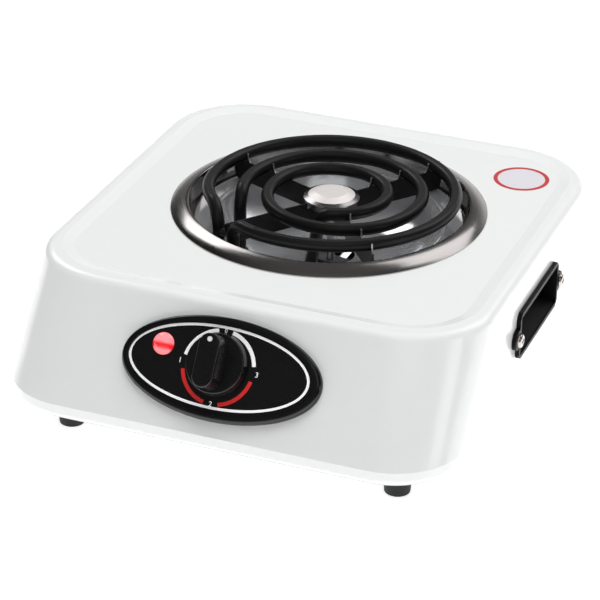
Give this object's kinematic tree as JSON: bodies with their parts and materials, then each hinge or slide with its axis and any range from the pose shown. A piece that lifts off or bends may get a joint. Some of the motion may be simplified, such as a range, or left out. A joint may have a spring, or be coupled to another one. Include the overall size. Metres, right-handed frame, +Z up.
{
  "type": "electric hot plate",
  "caption": "Free-standing electric hot plate: white housing, coil burner in a bright ring and pan, rotary heat selector, pilot lamp, side grips and feet.",
  "frame": {"origin": "middle of the footprint, on the surface that the feet stand on", "axes": "+Z up, -Y towards the control panel, +X to the right as seen from the front"},
  "size_m": [0.2824, 0.324, 0.1063],
  "materials": {
    "enamel": "glossy white enamel",
    "ring_steel": "brushed round the ring, bright lip",
    "pan_mirror": "mirror",
    "coil_sheath": "satin black oxide",
    "arm_steel": "satin black with bright cut edges",
    "cap_steel": "straight brushing",
    "zinc_steel": "bright zinc",
    "panel_black": "glossy black",
    "black_plastic": "satin black",
    "lamp_red": "translucent red",
    "lamp_holder": "off-white",
    "switch_plastic": "tan moulding",
    "brass": "plain",
    "ceramic": "white ceramic",
    "rubber": "matt black",
    "base_steel": "plain zinc-coated sheet",
    "wire_red": "heat-proof insulation",
    "wire_white": "heat-proof insulation"
  },
  "bodies": {
    "housing": {"arm_spring": "zinc_steel", "base_plate": "base_steel", "base_screws": "zinc_steel", "body_shell": "enamel", "bridge_screws": "zinc_steel", "centre_bolt": "zinc_steel", "centre_bridge": "zinc_steel", "centre_cap": "cap_steel", "centre_nut": "zinc_steel", "cord_inlet": "rubber", "drip_pan": "pan_mirror", "earth_screw": "brass", "element_pins": "zinc_steel", "element_seals": "ceramic", "foot_front_left": "rubber", "foot_front_right": "rubber", "foot_rear_left": "rubber", "foot_rear_right": "rubber", "foot_screws": "zinc_steel", "handle_screws": "zinc_steel", "heater_leads": "wire_white", "inner_element": "coil_sheath", "lamp_clip": "zinc_steel", "lamp_leads": "wire_white", "left_handle": "black_plastic", "mains_leads": "wire_red", "outer_element": "coil_sheath", "panel_bezel": "black_plastic", "panel_face": "panel_black", "pilot_lamp_body": "lamp_holder", "pilot_lamp_lens": "lamp_red", "right_handle": "black_plastic", "selector_switch": "switch_plastic", "spider_arm_front_left": "arm_steel", "spider_arm_front_right": "arm_steel", "spider_arm_rear_left": "arm_steel", "spider_arm_rear_right": "arm_steel", "spider_hub": "arm_steel", "switch_screws": "zinc_steel", "switch_tags": "brass", "terminal_block": "lamp_holder", "trim_ring": "ring_steel"},
    "knob": {"control_knob": "black_plastic", "switch_shaft": "zinc_steel"}
  },
  "joints": [
    {"name": "knob_turn", "type": "hinge", "parent": "housing", "child": "knob", "pos_m": [-0.002, -0.13387, 0.0648], "axis": [0, 0.8327, -0.5538], "range_deg": [0, 270]}
  ]
}
